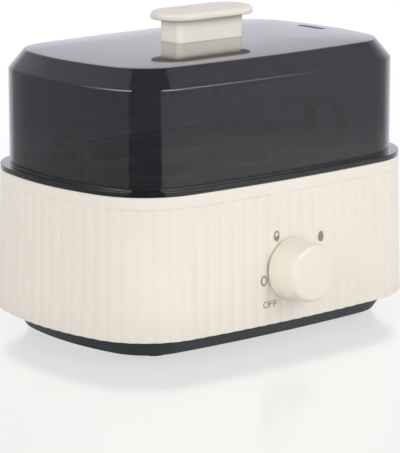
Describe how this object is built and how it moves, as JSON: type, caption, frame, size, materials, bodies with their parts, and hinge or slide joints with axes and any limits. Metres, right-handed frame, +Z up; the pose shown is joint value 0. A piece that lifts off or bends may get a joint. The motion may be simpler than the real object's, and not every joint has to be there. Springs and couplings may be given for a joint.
{
  "type": "electric egg cooker",
  "caption": "Electric egg cooker with a fluted rounded-box housing on a dark base, front timer dial, heated water pan, egg tray and a smoked lid with a grip on top.",
  "frame": {"origin": "middle of the footprint, on the plane that the feet stand on", "axes": "+X to the right along the front, +Y from the dial to the back, +Z up"},
  "size_m": [0.2034, 0.1557, 0.1595],
  "materials": {
    "cream": "satin moulded cream plastic",
    "smoke": "glossy smoked clear plastic",
    "dark_base": "matt dark grey plastic",
    "rubber": "matt rubber",
    "silicone": "matt silicone",
    "pan_steel": "pressed stainless sheet",
    "steel": "plated steel",
    "heater_steel": "oxidised steel tube",
    "moulding_dark": "matt moulding",
    "moulding_pale": "matt moulding"
  },
  "bodies": {
    "base": {"base_housing": "cream", "bottom_cover": "dark_base", "feet": "rubber", "cover_screws": "steel", "water_pan": "pan_steel", "pan_seal": "silicone", "pan_nuts": "steel", "heating_element": "heater_steel", "heater_terminals": "steel", "thermostat": "moulding_dark", "thermostat_bracket": "steel", "bracket_nuts": "steel", "thermal_fuse": "moulding_pale", "fuse_clip": "steel", "timer_plate": "steel", "timer_case": "moulding_pale", "timer_screws": "steel", "cord_gland": "dark_base", "terminal_block": "moulding_pale"},
    "lid": {"lid_shell": "smoke", "handle_stem": "cream", "handle_cap": "cream", "handle_washers": "silicone", "handle_screws": "steel"},
    "tray": {"egg_tray": "cream"},
    "dial": {"timer_shaft": "steel", "knob": "cream", "knob_leaf": "steel"}
  },
  "joints": [
    {"name": "lid_lift", "type": "slide", "parent": "base", "child": "lid", "axis": [0, 0, 1], "range_m": [0, 0.15]},
    {"name": "tray_lift", "type": "slide", "parent": "base", "child": "tray", "axis": [0, 0, 1], "range_m": [0, 0.025]},
    {"name": "dial_turn", "type": "hinge", "parent": "base", "child": "dial", "pos_m": [-0.001, -0.06, 0.0383], "axis": [0, 1, 0], "range_deg": [0, 196]}
  ]
}
